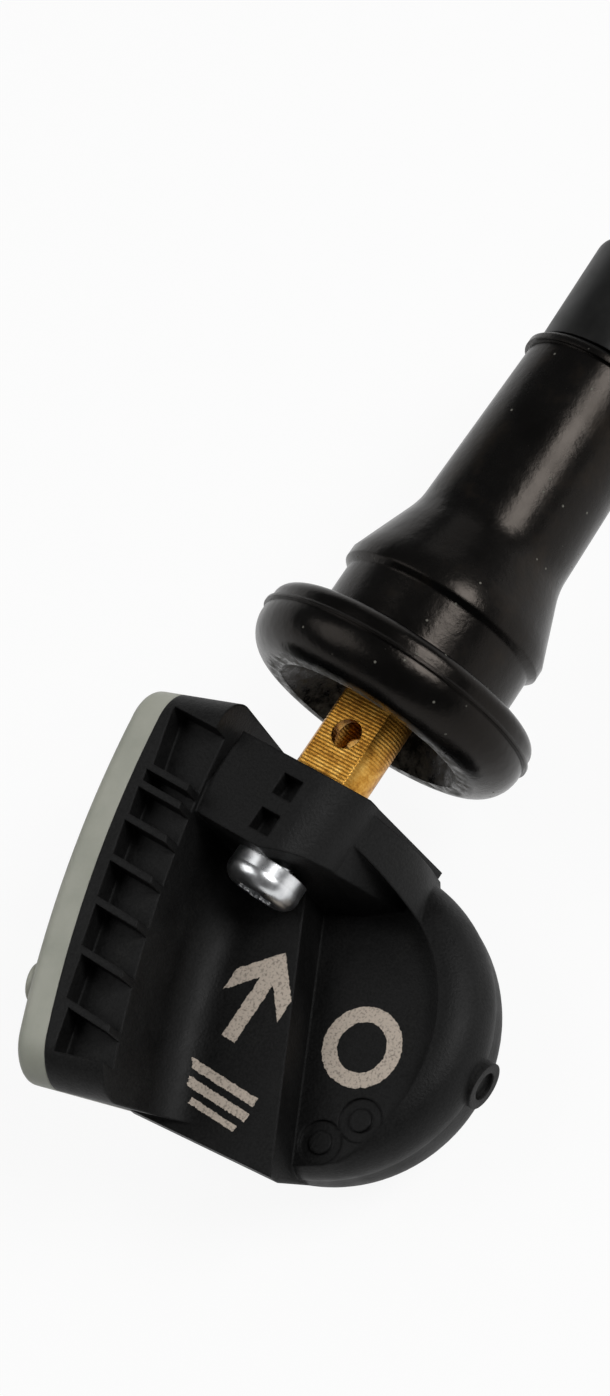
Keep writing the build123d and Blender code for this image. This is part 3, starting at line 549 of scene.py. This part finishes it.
# %% Nodes of the thread's tree
given = add(thread_tree, "NodeGroupInput").outputs
spiral = add(thread_tree, "GeometryNodeCurveSpiral", {
    "Resolution": 40, "Rotations": given["Turns"], "Start Radius": given["Radius"],
    "End Radius": given["Radius"], "Height": given["Length"],
})
start = add(thread_tree, "ShaderNodeCombineXYZ", {"X": given["Start"]})
wound = add(thread_tree, "GeometryNodeTransform", {
    "Geometry": spiral, "Translation": start, "Rotation": (0, radians(90), 0),
})
ridge = add(thread_tree, "GeometryNodeCurvePrimitiveCircle", {
    "Resolution": 3, "Radius": given["Ridge"],
})
swept = add(thread_tree, "GeometryNodeCurveToMesh", {
    "Curve": wound, "Profile Curve": ridge.outputs["Curve"], "Fill Caps": True,
})
real = add(thread_tree, "GeometryNodeRealizeInstances", {"Geometry": swept})
painted = add(thread_tree, "GeometryNodeSetMaterial", {
    "Geometry": real, "Material": given["Finish"],
})
add(thread_tree, "NodeGroupOutput", {"Geometry": painted})
print("thread tree:", len(thread_tree.nodes), "nodes")

# %% Thread as a plain mesh
maker = bpy.data.objects.new("thread_maker", bpy.data.meshes.new("thread_maker"))
bpy.context.scene.collection.objects.link(maker)
wind = maker.modifiers.new("neck_thread", "NODES")
wind.node_group = thread_tree
for name, value in {**thread_sizes, "Finish": brass}.items():
    wind[sockets[name].identifier] = value
seen = maker.evaluated_get(bpy.context.evaluated_depsgraph_get())
thread = bpy.data.objects.new("neck_thread", bpy.data.meshes.new_from_object(seen))
bpy.context.scene.collection.objects.link(thread)
maker.modifiers.remove(wind)
bpy.data.objects.remove(maker)
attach(thread, "sensor")
reach = max(hypot(*vertex.co.yz) for vertex in thread.data.vertices)
print("thread:", len(thread.data.polygons), "faces, crest radius", round(reach * 1000, 3), "mm")

# %% [markdown]
# Spring of the valve core
#
# The core's spring lies between the barrel's end and a collar on the pin. When the pin is pressed,
# the real spring gets shorter by the pin's travel. A rigid solid would be cut by the collar
# instead. Moving the spring with the pin would tear it off its seat, so a copy of the solid's mesh
# stands for it on the sensor's body, and the solid is hidden.

# %% Copy of the spring in place of the solid
spring = bpy.data.objects.new("shortening_spring", nodes["core_spring"].data.copy())
bpy.context.scene.collection.objects.link(spring)
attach(spring, "sensor")
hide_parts("core_spring")
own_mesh(spring)

# %% [markdown]
# Studio floor and background
#
# The part lies on plain white paper. The floor is white to the camera and in reflections, and a
# small share of it stays ordinary paper, so that it still takes the part's soft shadow. Seen from
# low down, the camera looks past the floor's edge, so the world has a white band round the horizon.
# For all other light the world stays dim, because lamps shape the black pieces better.

# %% Floor
low, high = (Vector(corner) for corner in cad_box)
floor_size, floor_gap = 4, 0.0002
bpy.ops.mesh.primitive_plane_add(size=floor_size, location=(0, 0, low.z - floor_gap))
floor = bpy.context.object
floor.name = "studio_floor"
print("floor at", round(floor.location.z * 1000, 2), "mm")

# %% Paper of the floor
white_share = 0.92
paper, tree, place = new_finish("studio_paper")
fibre = add(tree, "ShaderNodeTexNoise", {"Vector": place, "Scale": per_mm(3.0), "Detail": 3})
tone = add(tree, "ShaderNodeValToRGB", {"Fac": fibre}, stops=((0.3, "#f2f2f2"), (0.7, "#f6f6f6")))
matt = add(tree, "ShaderNodeBsdfPrincipled", {"Base Color": tone, "Roughness": 0.9})
path = add(tree, "ShaderNodeLightPath").outputs
shown = add(
    tree, "ShaderNodeMath", {0: path["Is Camera Ray"], 1: path["Is Glossy Ray"]},
    operation="MAXIMUM",
)
shown = add(
    tree, "ShaderNodeMath", {0: shown, 1: path["Is Transmission Ray"]}, operation="MAXIMUM",
)
share = add(tree, "ShaderNodeMath", {0: shown, 1: white_share}, operation="MULTIPLY")
white = add(tree, "ShaderNodeEmission", {"Color": (1, 1, 1, 1), "Strength": 1.0})
blend = add(tree, "ShaderNodeMixShader", {0: share, 1: matt, 2: white})
add(tree, "ShaderNodeOutputMaterial", {"Surface": blend})
floor.data.materials.append(paper)
print("finish:", paper.name)

# %% World with a white band round the horizon
band_top, dim_level, white_level = 0.2, 0.1, 0.93
world = bpy.data.worlds.new("studio_world")
world.use_nodes = True
bpy.context.scene.world = world
tree = world.node_tree
tree.nodes.clear()
aim = add(tree, "ShaderNodeTexCoord").outputs["Generated"]
aim_up = add(tree, "ShaderNodeSeparateXYZ", {0: aim}).outputs["Z"]
band = add(tree, "ShaderNodeMath", {0: aim_up, 1: band_top}, operation="LESS_THAN")
path = add(tree, "ShaderNodeLightPath").outputs
shown = add(
    tree, "ShaderNodeMath", {0: path["Is Camera Ray"], 1: path["Is Glossy Ray"]},
    operation="MAXIMUM",
)
shown = add(
    tree, "ShaderNodeMath", {0: shown, 1: path["Is Transmission Ray"]}, operation="MAXIMUM",
)
shown = add(tree, "ShaderNodeMath", {0: shown, 1: band}, operation="MULTIPLY")
level = add(tree, "ShaderNodeMapRange", {0: shown, 3: dim_level, 4: white_level})
sky = add(tree, "ShaderNodeBackground", {"Color": (1, 1, 1, 1), "Strength": level})
add(tree, "ShaderNodeOutputWorld", {"Surface": sky})
print("world:", len(tree.nodes), "nodes")

# %% [markdown]
# Camera and lamps
#
# The camera stands where the photo's stood, worked out from the valve's axis and the box's edges,
# and its lens follows from the same fit. Three square soft lamps stand round it: a key from the
# upper right draws the streak along the rubber, a side lamp lights the lid, and a weak top lamp
# lifts the upper edges. They are placed by the camera's own directions, so they keep to its side.

# %% Camera at the photo's viewing angle
focal_px, height_px = 2490, 1396  # of the photo, in its pixels
eye = Vector((-0.0348, -0.0696, 0.1287))
forward = Vector((0.1994, 0.4900, -0.8486)).normalized()
up = Vector((0.8095, 0.4056, 0.4244))
right = forward.cross(up).normalized()
up = right.cross(forward)
turn = Matrix((right, up, -forward)).transposed()
lens = bpy.data.cameras.new("photo_camera")
lens.sensor_fit = "VERTICAL"
lens.sensor_height = 24
lens.lens = lens.sensor_height * focal_px / height_px
lens.clip_start = 0.005
camera = bpy.data.objects.new("photo_camera", lens)
camera.matrix_world = Matrix.Translation(eye) @ turn.to_4x4()
bpy.context.scene.collection.objects.link(camera)
bpy.context.scene.camera = camera
print("camera at", [round(v, 4) for v in eye])

# %% Soft lamps


def lamp(name, across, upward, back, size, watts):
    """A square soft lamp, placed by the camera's own right, up and backward, aimed at the part."""
    data = bpy.data.lights.new(name, "AREA")
    data.size = size
    data.energy = watts
    made = bpy.data.objects.new(name, data)
    made.location = middle + right * across + up * upward - forward * back
    made.rotation_euler = (middle - made.location).to_track_quat("-Z", "Y").to_euler()
    bpy.context.scene.collection.objects.link(made)


middle = (low + high) / 2
lamp("key_softbox", across=0.15, upward=0.16, back=0.3, size=0.15, watts=0.85)
lamp("side_softbox", across=-0.24, upward=0.12, back=0.16, size=0.2, watts=0.26)
lamp("top_softbox", across=0.05, upward=0.32, back=0.02, size=0.16, watts=0.04)
bpy.context.scene.view_settings.view_transform = "Standard"
